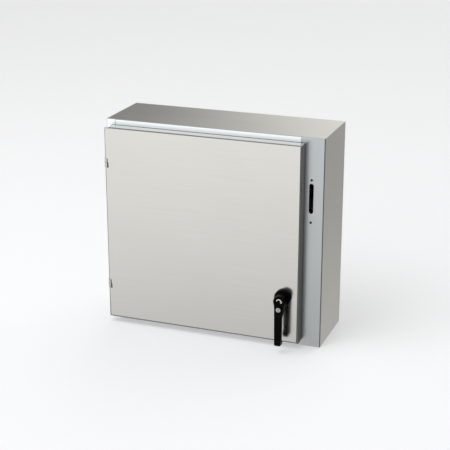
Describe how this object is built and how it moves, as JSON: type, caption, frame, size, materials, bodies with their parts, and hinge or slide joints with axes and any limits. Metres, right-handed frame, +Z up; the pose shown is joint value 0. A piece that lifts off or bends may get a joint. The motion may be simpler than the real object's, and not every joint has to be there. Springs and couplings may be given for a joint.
{
  "type": "fused disconnect switch",
  "caption": "Stainless wall cabinet for a fused disconnect switch, with a flange slot for the operating handle, a hinged door with a latch handle, and a pull-out fused switch inside.",
  "frame": {"origin": "centre of the four wall bolt holes, on the outside of the cabinet's back face", "axes": "+Z up, +Y out of the back into the wall, the door faces -Y, +X towards the switch flange"},
  "size_m": [0.6446, 0.2872, 0.6096],
  "materials": {
    "body_stainless": "fine vertical brushing, satin",
    "door_stainless": "fine brushing, satin, slightly brighter than the body",
    "hinge_steel": "plain satin",
    "plated_steel": "zinc plated",
    "panel_paint": "smooth white powder coat",
    "brass": "drawn bar",
    "switch_moulding": "moulded thermoset",
    "tinned_lug": "tin plated",
    "copper_part": "bare copper, slightly dulled",
    "arc_fibre": "vulcanised fibre",
    "barrier_sheet": "glass polyester sheet",
    "clear_shield": "clear polycarbonate",
    "crossbar_moulding": "moulded thermoset",
    "lever_casting": "black coated casting",
    "gasket_rubber": "foamed in place",
    "pocket_plastic": "moulded grey",
    "handle_casting": "semi-gloss black coat on die casting",
    "lock_chrome": "nickel plated",
    "roller_plastic": "moulded nylon",
    "fuse_tube": "wound glass tube",
    "fuse_cap": "plated ferrule"
  },
  "bodies": {
    "root": {"back_wall": "body_stainless", "left_wall": "body_stainless", "right_wall": "body_stainless", "top_wall": "body_stainless", "bottom_wall": "body_stainless", "hinge_stile": "body_stainless", "disconnect_flange": "body_stainless", "top_rail": "body_stainless", "bottom_rail": "body_stainless", "frame_hinge_leaves": "hinge_steel", "hinge_pins": "hinge_steel", "latch_keepers": "plated_steel", "subpanel": "panel_paint", "subpanel_studs": "plated_steel", "subpanel_nuts": "plated_steel", "ground_bar": "brass", "panel_screws": "plated_steel", "switch_base": "switch_moulding", "line_lugs": "tinned_lug", "load_lugs": "tinned_lug", "lug_screws": "plated_steel", "line_jaws": "copper_part", "arc_chutes": "arc_fibre", "arc_plates": "plated_steel", "phase_barriers": "barrier_sheet", "line_shield": "clear_shield", "blade_posts": "copper_part", "blade_pins": "plated_steel", "fuse_clips": "copper_part", "operator_bracket": "plated_steel", "crossbar_bearing": "plated_steel"},
    "door": {"door_pan": "door_stainless", "door_gasket": "gasket_rubber", "door_stiffener": "body_stainless", "door_hinge_leaves": "hinge_steel", "latch_guides": "plated_steel", "data_pocket": "pocket_plastic", "handle_escutcheon": "handle_casting", "escutcheon_nut": "plated_steel"},
    "handle": {"door_handle": "handle_casting", "handle_spindle": "plated_steel", "latch_crank": "plated_steel", "crank_nut": "plated_steel"},
    "key_plug": {"key_plug": "lock_chrome"},
    "latch_bar": {"latch_bar": "plated_steel"},
    "upper_roller": {"upper_roller": "roller_plastic"},
    "lower_roller": {"lower_roller": "roller_plastic"},
    "crossbar": {"crossbar": "crossbar_moulding", "blades": "copper_part", "crossbar_crank": "plated_steel"},
    "drive_lever": {"drive_lever": "lever_casting", "lever_shaft": "plated_steel"},
    "drive_rod": {"drive_rod": "plated_steel"},
    "fuse_a": {"fuse_a_barrel": "fuse_tube", "fuse_a_caps": "fuse_cap"},
    "fuse_b": {"fuse_b_barrel": "fuse_tube", "fuse_b_caps": "fuse_cap"},
    "fuse_c": {"fuse_c_barrel": "fuse_tube", "fuse_c_caps": "fuse_cap"}
  },
  "joints": [
    {"name": "door_swing", "type": "hinge", "parent": "root", "child": "door", "pos_m": [-0.3113, -0.2322, 0], "axis": [0, 0, -1], "range_deg": [0, 120]},
    {"name": "handle_turn", "type": "hinge", "parent": "door", "child": "handle", "pos_m": [0.2218, -0.2382, -0.152], "axis": [0, 1, 0], "range_deg": [0, 90]},
    {"name": "key_turn", "type": "hinge", "parent": "handle", "child": "key_plug", "pos_m": [0.2218, -0.281, -0.174], "axis": [0, 1, 0], "range_deg": [0, 90]},
    {"name": "latch_slide", "type": "slide", "parent": "door", "child": "latch_bar", "axis": [0, 0, 1], "range_m": [0, 0.02547]},
    {"name": "upper_roller_spin", "type": "hinge", "parent": "latch_bar", "child": "upper_roller", "pos_m": [0.2385, -0.1889, 0.205], "axis": [1, 0, 0], "continuous": true},
    {"name": "lower_roller_spin", "type": "hinge", "parent": "latch_bar", "child": "lower_roller", "pos_m": [0.2385, -0.1889, -0.205], "axis": [1, 0, 0], "continuous": true},
    {"name": "drive_lever_turn", "type": "hinge", "parent": "root", "child": "drive_lever", "pos_m": [0.2865, -0.126, 0.1331], "axis": [-1, 0, 0], "range_deg": [0, 56]},
    {"name": "drive_rod_turn", "type": "hinge", "parent": "drive_lever", "child": "drive_rod", "pos_m": [0.25275, -0.14794, 0.09965], "axis": [-1, 0, 0], "range_deg": [-56, 0]},
    {"name": "crossbar_turn", "type": "hinge", "parent": "root", "child": "crossbar", "pos_m": [0.147, -0.075, 0.0401], "axis": [-1, 0, 0], "range_deg": [0, 56]},
    {"name": "fuse_a_pull", "type": "slide", "parent": "root", "child": "fuse_a", "axis": [0, -1, 0], "range_m": [0, 0.06]},
    {"name": "fuse_b_pull", "type": "slide", "parent": "root", "child": "fuse_b", "axis": [0, -1, 0], "range_m": [0, 0.06]},
    {"name": "fuse_c_pull", "type": "slide", "parent": "root", "child": "fuse_c", "axis": [0, -1, 0], "range_m": [0, 0.06]}
  ],
  "couplings": [
    {"joint": "latch_slide", "follows": "handle_turn", "m_per_rad": 0.016206},
    {"joint": "drive_rod_turn", "follows": "drive_lever_turn", "ratio": -1},
    {"joint": "crossbar_turn", "follows": "drive_lever_turn", "ratio": 1}
  ]
}
